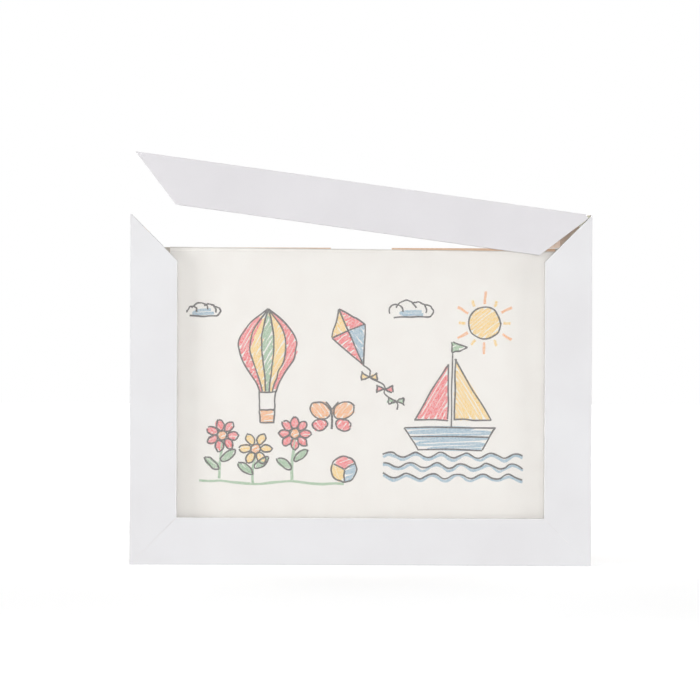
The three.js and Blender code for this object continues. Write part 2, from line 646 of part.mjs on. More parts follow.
// The swinging rail, drawn shut and turned open about the pivot
const swing = new THREE.Group();
const swungPieces = [
  piece("top_rail", topRail(), WHITE_PAINT),
  piece("moving_hinge_leaf", movingLeaf(), ZINC_STEEL),
  piece("rail_magnet", magnet(-1), NICKEL),
  ...LEAF_SCREW_STEPS.map(
    (step, i) => piece(`moving_leaf_screw_${i + 1}`, movingLeafScrew(step), ZINC_STEEL),
  ),
];
for (const mesh of swungPieces) {
  mesh.position.set(-PIVOT_X, 0, -PIVOT_Z);
  swing.add(mesh);
}
swing.position.set(PIVOT_X, 0, PIVOT_Z);
swing.rotation.y = THREE.MathUtils.degToRad(OPEN_ANGLE_DEG);
frame.add(swing);

export default frame;
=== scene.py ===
"""A white mitred picture frame whose top rail swings open so that the sheet can be changed.

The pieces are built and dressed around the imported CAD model, in metres, with the front facing -Y.
Sizes in the classes are millimetres, and MM turns them into metres.
"""

import json
import logging
import math
import random
from collections.abc import Callable, Iterator, Sequence
from dataclasses import dataclass, field
from enum import Enum, IntEnum

import bmesh
import bpy
from mathutils import Color, Matrix, Vector

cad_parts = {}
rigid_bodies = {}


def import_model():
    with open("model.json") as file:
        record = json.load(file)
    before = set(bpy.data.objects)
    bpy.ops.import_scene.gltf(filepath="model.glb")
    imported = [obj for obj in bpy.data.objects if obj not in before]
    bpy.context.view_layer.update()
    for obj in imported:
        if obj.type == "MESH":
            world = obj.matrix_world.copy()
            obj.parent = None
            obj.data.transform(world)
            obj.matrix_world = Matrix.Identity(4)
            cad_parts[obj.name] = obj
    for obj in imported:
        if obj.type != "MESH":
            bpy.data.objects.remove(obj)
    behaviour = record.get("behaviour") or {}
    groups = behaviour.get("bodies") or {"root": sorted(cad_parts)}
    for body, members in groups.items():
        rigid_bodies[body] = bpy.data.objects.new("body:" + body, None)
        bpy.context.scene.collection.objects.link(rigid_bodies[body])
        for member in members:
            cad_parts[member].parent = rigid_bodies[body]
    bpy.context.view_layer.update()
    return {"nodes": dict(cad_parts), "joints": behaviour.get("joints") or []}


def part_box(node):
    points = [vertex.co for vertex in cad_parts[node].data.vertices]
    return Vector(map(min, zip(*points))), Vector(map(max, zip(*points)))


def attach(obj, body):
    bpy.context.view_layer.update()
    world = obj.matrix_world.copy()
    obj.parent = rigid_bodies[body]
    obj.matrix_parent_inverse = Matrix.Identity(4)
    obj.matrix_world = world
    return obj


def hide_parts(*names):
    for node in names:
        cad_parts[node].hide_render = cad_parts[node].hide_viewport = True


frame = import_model()

MM = 0.001
SEED = 20
LOG = logging.getLogger("swing_top_frame")

Colour = tuple[float, float, float, float]
Place = tuple[float, float, float]
Point = tuple[float, float]
Path = list[Point]
Piece = bpy.types.Object
Socket = bpy.types.NodeSocket
Solid = bmesh.types.BMesh
Tree = bpy.types.NodeTree

WHITE: Colour = (1.0, 1.0, 1.0, 1.0)
DEPTH = Vector((0, 1, 0))
# A direction with more than this share along an axis counts as along it
ALONG = 0.9
# Facets that turn by less than FLAT are one face, by more than CREASE a crease, by more than SHARP an edge
FLAT, CREASE, SHARP = (math.radians(degrees) for degrees in (0.5, 40, 50))
# Noise seldom leaves this range, which a pattern spreads to its own
NOISE_LOW, NOISE_HIGH = 0.3, 0.7
# Metres after which a wave texture of scale 1 repeats
WAVE_PERIOD = math.pi / 10
# Strip steel is rolled along Z, so its streaks are drawn out that way
ROLLED = (1.0, 1.0, 0.15)
# Facets around a turned piece and from a dome's rim to its top
TURN_STEPS, DOME_STEPS = 32, 6
# Width of the worn rim of a turned head in millimetres
RIM = 0.1
# A Mix node's sockets for colours
MIX_FIRST, MIX_SECOND, MIX_RESULT = 6, 7, 2


def linear(hex_colour: str) -> Colour:
    """Turn an sRGB colour, written as #RRGGBB, into a linear one with an alpha of 1."""
    parts = [int(hex_colour[start:start + 2], 16) / 255 for start in (1, 3, 5)]
    return *Color(parts).from_srgb_to_scene_linear(), 1.0


def add_node(tree: Tree, kind: str, inputs: dict | None = None, **settings: str) -> bpy.types.Node:
    """Add a node, set it up and feed its sockets.

    Args:
        tree: The node tree to add to.
        kind: The node's type, without its ShaderNode prefix.
        inputs: A value or a feeding socket for each input, by name or by index.
        settings: Attributes of the node itself.

    Returns:
        The new node.
    """
    node = tree.nodes.new("ShaderNode" + kind)
    for key, value in settings.items():
        setattr(node, key, value)
    for key, value in (inputs or {}).items():
        if isinstance(value, Socket):
            tree.links.new(value, node.inputs[key])
        else:
            node.inputs[key].default_value = value
    return node


def empty_tree(owner: bpy.types.Material | bpy.types.World) -> Tree:
    """Give a material or a world a node tree with nothing in it.

    Args:
        owner: The material or the world.

    Returns:
        Its tree.
    """
    owner.use_nodes = True
    owner.node_tree.nodes.clear()
    return owner.node_tree


def grain(tree: Tree, size: float, low: float = 0.0, high: float = 1.0, detail: float = 2.0,
          stretch: Place = (1.0, 1.0, 1.0)) -> Socket:
    """Lay a soft random pattern through the object's own space.

    Args:
        tree: The node tree to add to.
        size: Width of one patch in millimetres.
        low: Value in the pattern's hollows.
        high: Value on the pattern's crests.
        detail: Number of finer layers in the pattern.
        stretch: Factor on the pattern's fineness along each axis.

    Returns:
        The socket that carries the pattern.
    """
    place = add_node(tree, "Mapping", {0: add_node(tree, "TexCoord").outputs["Object"], "Scale": stretch})
    fineness = {"Scale": 1 / (size * MM), "Detail": detail}
    noise = add_node(tree, "TexNoise", {"Vector": place.outputs[0]} | fineness)
    spread = {"From Min": NOISE_LOW, "From Max": NOISE_HIGH, "To Min": low, "To Max": high}
    return add_node(tree, "MapRange", {"Value": noise.outputs[0]} | spread).outputs[0]


# Where a finish's second colour shows, its height if it has one, and the surface's other inputs
Patterns = tuple[Socket, Socket | None, dict[str, Socket | float]]


@dataclass(frozen=True)
class Finish:
    """A finish that makes its own material from two colours and a relief of some depth."""

    name: str
    colour: str
    second_colour: str
    relief: float = 0.0

    def patterns(self, tree: Tree) -> Patterns:
        """Add the finish's patterns to a tree and return them."""
        raise NotImplementedError

    def material(self) -> bpy.types.Material:
        """Give the finish's material, made on its first use.

        Returns:
            The material.
        """
        material = bpy.data.materials.get(self.name)
        if not material:
            material = bpy.data.materials.new(self.name)
            tree = empty_tree(material)
            share, height, inputs = self.patterns(tree)
            colours = {0: share, MIX_FIRST: linear(self.colour), MIX_SECOND: linear(self.second_colour)}
            inputs["Base Color"] = add_node(tree, "Mix", colours, data_type="RGBA").outputs[MIX_RESULT]
            if height:
                rise = {"Height": height, "Distance": self.relief * MM}
                inputs["Normal"] = add_node(tree, "Bump", rise).outputs[0]
            surface = add_node(tree, "BsdfPrincipled", inputs)
            add_node(tree, "OutputMaterial", {"Surface": surface.outputs[0]})
        return material


@dataclass(frozen=True)
class SatinLacquer(Finish):
    """Sprayed or brushed lacquer: an even colour that clouds a little, with a soft sheen and faint peel."""

    relief: float = 0.006
    cloud: float = 70.0
    patches_across_cloud: float = 5.0
    peel: float = 2.6

    def patterns(self, tree: Tree) -> Patterns:
        """Add the clouds, the patchy sheen and the peel, drawn coarser than life so that it shows."""
        sheen = grain(tree, self.cloud / self.patches_across_cloud, low=0.44, high=0.52)
        inputs = {"Roughness": sheen, "Specular IOR Level": 0.4}
        return grain(tree, self.cloud), grain(tree, self.peel, detail=1.0), inputs


@dataclass(frozen=True)
class MattGrain(Finish):
    """A matt surface whose fibres, flecks or crumbs show in its colour and in its height."""

    grit: float = 1.0
    detail: float = 5.0
    roughness: float = 0.9
    least: float = 0.0
    stretch: Place = (1.0, 1.0, 1.0)

    def patterns(self, tree: Tree) -> Patterns:
        """Add one pattern for the colour and the height."""
        fibres = grain(tree, self.grit, self.least, detail=self.detail, stretch=self.stretch)
        return fibres, fibres, {"Roughness": self.roughness}


@dataclass(frozen=True)
class DryStroke(MattGrain):
    """Wax crayon or pencil on toothed paper: colour on the crests, paper showing through in the hollows."""

    relief: float = 0.03
    grit: float = 1.1
    detail: float = 3.0
    roughness: float = 0.75


@dataclass(frozen=True)
class Hardboard(Finish):
    """Wet-pressed hardboard: a smooth mottled brown face, or the grid of the press screen on its back."""

    relief: float = 0.16
    fleck: float = 1.4
    screen_pitch: float = 0.0

    def patterns(self, tree: Tree) -> Patterns:
        """Add the flecks, and the print of the press screen where the board has one.

        Args:
            tree: The node tree to add to.

        Returns:
            The patterns.
        """
        flecks = grain(tree, self.fleck, detail=5.0)
        if not self.screen_pitch:
            return flecks, None, {"Roughness": 0.62}
        place = add_node(tree, "TexCoord").outputs["Object"]
        wave = {"Vector": place, "Scale": WAVE_PERIOD / (self.screen_pitch * MM)}
        wires = [add_node(tree, "TexWave", wave, bands_direction=axis).outputs["Fac"] for axis in "XZ"]
        screen = add_node(tree, "Math", dict(enumerate(wires)), operation="MULTIPLY")
        return flecks, screen.outputs[0], {"Roughness": 0.8}


@dataclass(frozen=True)
class ClearAcrylic(Finish):
    """Clear acrylic etched against glare: nearly invisible face on, with a soft sheen when turned."""

    relief: float = 0.003
    alpha: float = 0.04
    roughness: float = 0.35
    uneven: float = 0.05
    smear: float = 24.0
    etch: float = 0.7

    def patterns(self, tree: Tree) -> Patterns:
        """Add the smeared sheen and the etch, drawn coarser than life so that it shows."""
        sheen = grain(tree, self.smear, self.roughness - self.uneven, self.roughness + self.uneven)
        etch = grain(tree, self.etch)
        return etch, etch, {"Roughness": sheen, "IOR": 1.49, "Alpha": self.alpha, "Specular IOR Level": 0.2}


@dataclass(frozen=True)
class CartridgePaper(Finish):
    """Cartridge paper: matt, a little warm, with a fine tooth and uneven fibre."""

    relief: float = 0.02
    fibre: float = 14.0
    tooth: float = 0.8

    def patterns(self, tree: Tree) -> Patterns:
        """Add the fibre, and the tooth drawn about twice as coarse as life."""
        return grain(tree, self.fibre, detail=6.0), grain(tree, self.tooth), {"Roughness": 0.95}


@dataclass(frozen=True)
class PlatedSteel(Finish):
    """Plated steel strip: grey metal with the rolling direction's faint streaks."""

    bright: float = 0.3
    dull: float = 0.42
    streak: float = 3.0
    wear: float = 1.6

    def patterns(self, tree: Tree) -> Patterns:
        """Add the streaks in the plating's colour and the worn sheen, on a flat surface."""
        sheen = grain(tree, self.wear, self.bright, self.dull, stretch=ROLLED)
        streaks = grain(tree, self.streak, detail=3.0, stretch=ROLLED)
        return streaks, None, {"Metallic": 1.0, "Roughness": sheen}


class Pigment(Enum):
    """The drawing's colours, each the sRGB colour of a firm stroke."""

    RED = "#EC5F66"
    ORANGE = "#F0A766"
    YELLOW = "#F3CC74"
    GREEN = "#8FB48D"
    BLUE = "#8FB0C4"
    GRAPHITE = "#55504F"


# An even, slightly cool white; a shade greyer on the rail, which is painted shade; and brighter on the fixed
# sight edges and the hinge mitres, which is painted light that lifts their shade
LACQUER = SatinLacquer("satin_lacquer_sprayed_on_fibreboard", "#E1E1E3", "#DDDCDE")
RAIL_LACQUER_PAINTED_SHADE = SatinLacquer("satin_lacquer_on_swinging_rail", "#DAD8DB", "#D7D5D8")
EDGE_COAT_PAINTED_LIGHT = SatinLacquer("satin_lacquer_second_coat_on_edges", "#F5F5F6", "#F2F2F3")
# Thin brushed coats with small clouds: greenish cream on the hinge, a primer made pale as painted light for
# the shaded hinge slot; mid grey on the free mitre, painted shade of its shadowed cut end
CHROMATE_PALED_AS_PAINTED_LIGHT = SatinLacquer("zinc_chromate_primer_on_steel_strip", "#F0EEDA", "#E6E4CE", cloud=6.0)
GREY_PAINTED_SHADE = SatinLacquer("grey_primer_brushed_on_sawn_mitre", "#B6B6B7", "#A8A8A9", cloud=6.0)
# Board as the saw left it: matt pinkish tan, paler than bare board as painted light so that the shaded hinge
# slot reads bright, with short fibres that lie flat between its faces
SAWN_PALED_AS_PAINTED_LIGHT = MattGrain("medium_density_fibreboard_sawn", "#FFEBDA", "#F4DAC5", relief=0.02, grit=0.9, detail=4.0,
                 stretch=(0.6, 1.2, 0.6))
# Recycled card: matt warm grey with darker flecks of pulp
CARD = MattGrain("recycled_grey_card", "#CFC9C0", "#B6AFA5", relief=0.03, grit=1.2, roughness=0.92)
# Light brown and smooth in front, darker and gridded behind
SMOOTH_BOARD = Hardboard("hardboard_smooth_face", "#E9C8AB", "#D8B495")
SCREEN_BOARD = Hardboard("hardboard_screen_pressed_back", "#BE9577", "#A57C60", screen_pitch=1.7)
# A sheet that hardly shows face on, and edges that catch a little more light
CLEAR = ClearAcrylic("clear_acrylic_etched_against_glare", "#F4F6F6", "#F4F6F6")
CLEAR_EDGE = ClearAcrylic("clear_acrylic_sawn_edge", "#F4F6F6", "#F4F6F6", alpha=0.06, roughness=0.5)
# Warm matt white, and a grey band along the top edge that is painted shade of the gap above it
PAPER = CartridgePaper("cream_cartridge_paper", "#F1EEE9", "#EDE9E4")
PAPER_RIM_PAINTED_SHADE = CartridgePaper("cream_cartridge_paper_greyed_by_handling", "#D8D4CF", "#C8C4BF")
# Bluish satin zinc, dull greenish phosphate, and warmer, brighter nickel
ZINC = PlatedSteel("zinc_plated_steel_strip", "#C4C7CA", "#AEB2B6")
PHOSPHATE = PlatedSteel("phosphated_steel_strip", "#B9BAAA", "#A5A697", bright=0.55, dull=0.7)
NICKEL = PlatedSteel("nickel_plated_steel", "#C6C2BA", "#B4B0A8", bright=0.24, dull=0.36)


def shut_turn() -> Matrix:
    """Work out the turn about the hinge that shuts the resting rail.

    Returns:
        The turn as a matrix.
    """
    joint = frame["joints"][0]
    pivot = Matrix.Translation(Vector(joint["pos_m"]))
    turn = Matrix.Rotation(math.radians(joint["range_deg"][0]), 4, Vector(joint["axis"]))
    return pivot @ turn @ pivot.inverted()


def put_in_scene(name: str, data: bpy.types.ID) -> Piece:
    """Show a mesh, a lamp or a camera in the scene.

    Args:
        name: The new object's name.
        data: What it shows.

    Returns:
        The object.
    """
    holder = bpy.data.objects.new(name, data)
    bpy.context.scene.collection.objects.link(holder)
    return holder


def mesh_of(name: str, bm: Solid) -> bpy.types.Mesh:
    """Turn a solid into a mesh.

    Args:
        name: The mesh's name.
        bm: The solid, which is used up.

    Returns:
        The mesh.
    """
    mesh = bpy.data.meshes.new(name)
    bm.to_mesh(mesh)
    bm.free()
    return mesh


def reach_along(bm: Solid, axis: Vector, turn: Matrix = Matrix.Identity(4)) -> Point:
    """Give a solid's least and greatest reach along an axis once it is turned."""
    reaches = [(turn @ v.co).dot(axis) for v in bm.verts]
    return min(reaches), max(reaches)


def weld(bm: Solid, gap: float = 0.001) -> None:
    """Join points that lie within a gap in millimetres and turn all faces outward."""
    bmesh.ops.remove_doubles(bm, verts=bm.verts, dist=gap * MM)
    bmesh.ops.recalc_face_normals(bm, faces=bm.faces)


def solid_of(node: str) -> Solid:
    """Copy a CAD node's mesh with its seams welded and its flat facets joined.

    Args:
        node: The CAD node's name.

    Returns:
        The copy.
    """
    bm = bmesh.new()
    bm.from_mesh(frame["nodes"][node].data)
    weld(bm)
    bmesh.ops.dissolve_limit(bm, angle_limit=FLAT, verts=bm.verts, edges=bm.edges)
    return bm


def round_edges(bm: Solid, edges: list[bmesh.types.BMEdge], width: float, segments: int,
                clamp: bool = False) -> None:
    """Round some of a solid's edges by a width in millimetres, clamped where they would meet if told so."""
    bmesh.ops.bevel(bm, geom=edges, offset=width * MM, offset_type="OFFSET", affect="EDGES",
                    segments=segments, profile=0.5, material=-1, clamp_overlap=clamp)


def soften(bm: Solid, width: float) -> None:
    """Round all of a solid's sharp edges by a width in millimetres."""
    round_edges(bm, [e for e in bm.edges if e.calc_face_angle(0.0) > SHARP], width, segments=2, clamp=True)


def softened(node: str, width: float) -> Solid:
    """Copy a CAD node's solid with its sharp edges rounded by a width in millimetres."""
    soften(bm := solid_of(node), width)
    return bm


def divide(bm: Solid, place: Vector, normal: Vector) -> None:
    """Divide a solid's faces along a plane and keep both sides."""
    geom = bm.verts[:] + bm.edges[:] + bm.faces[:]
    bmesh.ops.bisect_plane(bm, geom=geom, plane_co=place, plane_no=normal)


def spun(profile: Path) -> Solid:
    """Spin a profile about the Y axis into a closed solid.

    Args:
        profile: Radius and Y of each point in millimetres, from one end of the axis to the other.

    Returns:
        The solid.
    """
    bm = bmesh.new()
    verts = [bm.verts.new((radius * MM, y * MM, 0)) for radius, y in profile]
    edges = [bm.edges.new(pair) for pair in zip(verts, verts[1:])]
    bmesh.ops.spin(bm, geom=verts + edges, cent=(0, 0, 0), axis=DEPTH, angle=math.tau, steps=TURN_STEPS,
                   use_merge=True)
    weld(bm)
    return bm


def rivet_of(node: str, shank: float, lip: float, flat_front: bool) -> Solid:
    """Make a rivet in a CAD rivet's place, its heads domed or the front one flat.

    Args:
        node: The CAD rivet, which lies along Y.
        shank: Radius of the shank in millimetres.
        lip: Height of each head in millimetres.
        flat_front: Whether the front head is a flat disc with a worn rim.

    Returns:
        The rivet.
    """
    low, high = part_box(node)
    head = (high.x - low.x) / 2 / MM
    front, back = low.y / MM, high.y / MM
    angles = [math.pi / 2 * step / DOME_STEPS for step in range(DOME_STEPS)]
    dome = [(head * math.cos(a), lip * math.sin(a)) for a in angles] + [(0, lip)]
    flat = [(head, 0), (head, lip - RIM), (head - RIM, lip), (0, lip)]
    start = [(radius, front + lip - y) for radius, y in reversed(flat if flat_front else dome)]
    end = [(radius, back - lip + y) for radius, y in dome]
    bm = spun(start + [(shank, front + lip), (shank, back - lip)] + end)
    bmesh.ops.translate(bm, verts=bm.verts, vec=((low.x + high.x) / 2, 0, (low.z + high.z) / 2))
    return bm


def add_piece(name: str, bm: Solid, finishes: Sequence[Finish], node: str | None = None,
              body: str = "frame", sliver: float = 0.0005) -> Piece:
    """Make a solid into a finished piece of the object.

    Args:
        name: The piece's name.
        bm: The solid, which is used up.
        finishes: The finish of each material index.
        node: The CAD node that the piece stands for, if any.
        body: The CAD body that carries the piece.
        sliver: Edges shorter than this in millimetres are closed up.

    Returns:
        The piece.
    """
    bmesh.ops.dissolve_degenerate(bm, dist=sliver * MM, edges=bm.edges)
    mesh = mesh_of(name, bm)
    for finish in finishes:
        mesh.materials.append(finish.material())
    mesh.shade_smooth()
    mesh.set_sharp_from_angle(angle=CREASE)
    piece = put_in_scene(name, mesh)
    normals = piece.modifiers.new("flat_faces", "WEIGHTED_NORMAL")
    normals.keep_sharp = True
    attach(piece, body)
    if node:
        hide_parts(node)
    return piece


def dress_node(node: str, finish: Finish) -> Piece:
    """Give a CAD node a finish without touching its shape.

    Args:
        node: The CAD node's name.
        finish: The finish.

    Returns:
        The node's object.
    """
    piece = frame["nodes"][node]
    piece.material_slots[0].material = finish.material()
    return piece


class Coat(IntEnum):
    """What covers a face of a member, as its material index."""

    SKIN = 0
    # Bare board, its colour made pale as painted light
    BARE = 1
    # Grey on the free mitre, painted shade of its cut end
    GREY_PAINTED_SHADE = 2
    # Whitened lacquer on the sight edges and hinge mitres, painted light
    EDGE = 3


@dataclass
class MitredMembers:
    """The two stiles and the bottom rail that are joined, and the top rail that swings."""

    skin: float = 0.45
    lip: float = 8.0
    rabbet: float = 12.0
    eased_corner: float = 3.0
    eased_facets: int = 4
    filled_outer: float = 0.205
    filled_sight: float = 0.15
    joints_below: float = 100.0
    mitre_lean: float = 0.6
    edge_lean: float = 0.3
    bare_mitres: str = "bottom_rail"
    swinging: str = "top_rail"
    outward: dict[str, Vector] = field(default_factory=lambda: {
        "left_stile": Vector((-1, 0, 0)), "right_stile": Vector((1, 0, 0)),
        "bottom_rail": Vector((0, 0, -1)), "top_rail": Vector((0, 0, 1)),
    })

    def coat_rule(self, node: str, bm: Solid, shut: Matrix) -> Callable[[bmesh.types.BMFace], Coat]:
        """Make the rule that tells how a member's face is coated.

        Args:
            node: The member's CAD node.
            bm: The member.
            shut: The turn that brings the member to its shut place.

        Returns:
            The rule, which takes a face.
        """
        outward = self.outward[node]
        along = outward.cross(DEPTH)
        sight, outer = reach_along(bm, outward, shut)
        front, back = reach_along(bm, DEPTH, shut)
        ends = reach_along(bm, along, shut)
        skin = self.skin * MM

        def rule(face: bmesh.types.BMFace) -> Coat:
            """Tell one face's coat."""
            normal = (shut.to_3x3() @ face.normal).normalized()
            centre = shut @ face.calc_center_median()
            across = centre.dot(outward)
            lean = abs(normal.dot(along))
            if lean > ALONG:
                inside = min(abs(centre.dot(along) - end) for end in ends) > skin
                return Coat.BARE if inside else Coat.SKIN
            # Mitre faces: grey painted shade on the free mitre, bare board on the bottom rail, whitened
            # lacquer as painted light on the rest
            if lean > self.mitre_lean:
                free = centre.x < 0 < centre.z - self.joints_below * MM
                return Coat.GREY_PAINTED_SHADE if free else Coat.BARE if node == self.bare_mitres else Coat.EDGE
            # The fixed members' sight edges take the whitened lacquer, painted light that lifts their shade
            if across - sight < skin and normal.dot(outward) < -self.edge_lean and node != self.swinging:
                return Coat.EDGE
            depths = (across - sight, outer - across, centre.y - front, back - centre.y,
                      abs(across - sight - self.rabbet * MM), abs(centre.y - front - self.lip * MM))
            return Coat.BARE if lean > self.edge_lean or min(depths) > skin else Coat.SKIN

        return rule

    def fill_joints(self, node: str, bm: Solid) -> None:
        """Draw the glued lower mitres together, where filler and lacquer close them best at the outer edge.

        Args:
            node: The member's CAD node.
            bm: The member.
        """
        outward = self.outward[node]
        along = outward.cross(DEPTH)
        sight, outer = reach_along(bm, outward)
        for end in (-along, along):
            cut = [f for f in bm.faces if self.mitre_lean < f.normal.dot(end) < ALONG
                   and f.calc_center_median().z < self.joints_below * MM]
            for vert in {v for f in cut for v in f.verts}:
                share = (vert.co.dot(outward) - sight) / (outer - sight)
                vert.co += end * (self.filled_sight + (self.filled_outer - self.filled_sight) * share) * MM

    def ease_corner(self, bm: Solid) -> None:
        """Ease the swinging rail's free inner corner, which hands meet first.

        Args:
            bm: The rail.
        """
        deep = [e for e in bm.edges if abs(e.verts[0].co.y - e.verts[1].co.y) > self.lip * MM / 2]
        free = [e for e in deep if e.verts[0].co.x < 0]
        corner = min(free, key=lambda e: e.verts[0].co.z)
        round_edges(bm, [corner], self.eased_corner, self.eased_facets)

    def build(self) -> Iterator[Piece]:
        """Dress the four members: lacquer on the moulding's skin, bare board where it was cut, and greyer and
        whiter coats as painted shade and light.

        Yields:
            The pieces.
        """
        for node in self.outward:
            bm = solid_of(node)
            swings = node == self.swinging
            coat = self.coat_rule(node, bm, shut_turn() if swings else Matrix.Identity(4))
            for face in bm.faces:
                face.material_index = coat(face)
            self.fill_joints(node, bm)
            if swings:
                self.ease_corner(bm)
            # The rail's greyer lacquer is painted shade; the coats also hold bare board made pale as painted
            # light, grey painted shade for the free mitre and whitened lacquer as painted light
            skin, body = (RAIL_LACQUER_PAINTED_SHADE, "rail") if swings else (LACQUER, "frame")
            coats = (skin, SAWN_PALED_AS_PAINTED_LIGHT, GREY_PAINTED_SHADE, EDGE_COAT_PAINTED_LIGHT)
            yield add_piece(f"{node}_lacquered", bm, coats, node, body)


@dataclass
class PicturePack:
    """The clear front, the sheet, the card spacers and the hardboard back."""

    sheet_width: float = 297.0
    sheet_height: float = 210.0
    sag: float = 0.3
    # Run across and up the sheet for one radian, and the start, of each wave that the sheet lies in
    waves: tuple[Place, ...] = ((31.0, 83.0, 0.0), (-59.0, 37.0, 1.3))
    mesh_step: float = 5.0
    strip_gap: float = 0.25
    # Width of the grey band along the sheet's top edge, painted shade
    rim: float = 0.8
    clear_edge: float = 0.2
    board_edge: float = 0.25
    card_edge: float = 0.15

    def sheet_frame(self) -> tuple[Vector, float, float]:
        """Find where the sheet stands.

        Returns:
            The sheet's centre, its front's Y, and its lean in radians, positive with the right side low.
        """
        low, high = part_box("picture_sheet")
        diagonal = math.hypot(self.sheet_width, self.sheet_height) * MM
        lean = math.asin((high.z - low.z) / diagonal) - math.atan2(self.sheet_height, self.sheet_width)
        return (low + high) / 2, low.y, lean

    def sag_at(self, u: float, v: float) -> float:
        """Give how far the loose sheet falls back from the clear front.

        Args:
            u: Place across the sheet in millimetres from its middle.
            v: Place up the sheet in millimetres from its middle.

        Returns:
            The depth in millimetres, from 0 to the full sag.
        """
        heights = [math.sin(u / across + v / up + start) for across, up, start in self.waves]
        return self.sag * (sum(heights) / len(heights) + 1) / 2

    def add_sheet(self) -> Piece:
        """Copy the sheet, grey its top edge as painted shade and let it lie a little uneven in its pocket.

        Returns:
            The sheet.
        """
        bm = solid_of("picture_sheet")
        centre, _, lean = self.sheet_frame()
        across = Vector((math.cos(lean), 0, -math.sin(lean)))
        up = Vector((math.sin(lean), 0, math.cos(lean)))
        for axis, length in ((across, self.sheet_width), (up, self.sheet_height)):
            edges = [e for e in bm.edges
                     if abs((e.verts[1].co - e.verts[0].co).normalized().dot(axis)) > ALONG]
            cuts = round(length / self.mesh_step)
            bmesh.ops.subdivide_edges(bm, edges=edges, cuts=cuts, use_grid_fill=True)
        rim_foot = centre + up * (self.sheet_height / 2 - self.rim) * MM
        divide(bm, rim_foot, up)
        # The band along the top edge takes the grey paper, painted shade
        for face in bm.faces:
            face.material_index = int((face.calc_center_median() - rim_foot).dot(up) > 0)
        for vert in bm.verts:
            offset = (vert.co - centre) / MM
            vert.co.y += self.sag_at(offset.dot(across), offset.dot(up)) * MM
        return add_piece("drawing_sheet", bm, (PAPER, PAPER_RIM_PAINTED_SHADE), "picture_sheet")

    def follow_sheet(self, strip: Solid, side: int) -> None:
        """Lay a side strip's inner edge along the leaning sheet.

        Args:
            strip: The strip.
            side: -1 for the left strip, 1 for the right one.
        """
        centre, _, lean = self.sheet_frame()
        inner = min(v.co.x * side for v in strip.verts)
        reach = self.sheet_width / 2 / math.cos(lean) + self.strip_gap
        for vert in strip.verts:
            if vert.co.x * side < inner + self.strip_gap * MM:
                vert.co.x = centre.x + side * reach * MM + (vert.co.z - centre.z) * math.tan(lean)

    def build(self) -> Iterator[Piece]:
        """Build and dress the sheet, the clear front, the board and the strips.

        Yields:
            The pieces.
        """
        yield self.add_sheet()
        front = softened("clear_front", self.clear_edge)
        for face in front.faces:
            face.material_index = int(abs(face.normal.y) <= ALONG)
        yield add_piece("clear_sheet", front, (CLEAR, CLEAR_EDGE), "clear_front")
        board = softened("back_board", self.board_edge)
        for face in board.faces:
            face.material_index = int(face.normal.y >= ALONG)
        yield add_piece("hardboard_back", board, (SMOOTH_BOARD, SCREEN_BOARD), "back_board")
        for place, side in (("left", -1), ("right", 1), ("bottom", 0)):
            strip = solid_of(f"spacer_{place}")
            if side:
                self.follow_sheet(strip, side)
            soften(strip, self.card_edge)
            yield add_piece(f"card_strip_{place}", strip, (CARD,), f"spacer_{place}")


def placed(origin: Point, *points: Point) -> Path:
    """Move points that are drawn about an origin to where it lies on the sheet."""
    return [(origin[0] + u, origin[1] + v) for u, v in points]


def oval(centre: Point, radii: Point, start: float = 0.0, sweep: float = 360.0, steps: int = 20) -> Path:
    """Place points along part of an ellipse.

    Args:
        centre: The ellipse's middle.
        radii: Its half width and half height.
        start: First angle in degrees.
        sweep: Angle covered in degrees.
        steps: Number of steps.

    Returns:
        The points.
    """
    angles = [math.radians(start + sweep * step / steps) for step in range(steps + 1)]
    return placed(centre, *((radii[0] * math.cos(a), radii[1] * math.sin(a)) for a in angles))


def turned(path: Path, centre: Point, angle: float) -> Path:
    """Turn a path about a point.

    Args:
        path: The points.
        centre: The point that stays.
        angle: The turn in degrees, anticlockwise.

    Returns:
        The turned points.
    """
    c, s = math.cos(math.radians(angle)), math.sin(math.radians(angle))
    offsets = [(u - centre[0], v - centre[1]) for u, v in path]
    return placed(centre, *((u * c - v * s, u * s + v * c) for u, v in offsets))


@dataclass(frozen=True)
class Stroke:
    """One pull of a crayon or a pencil across the sheet."""

    pigment: Pigment
    path: Path
    width: float


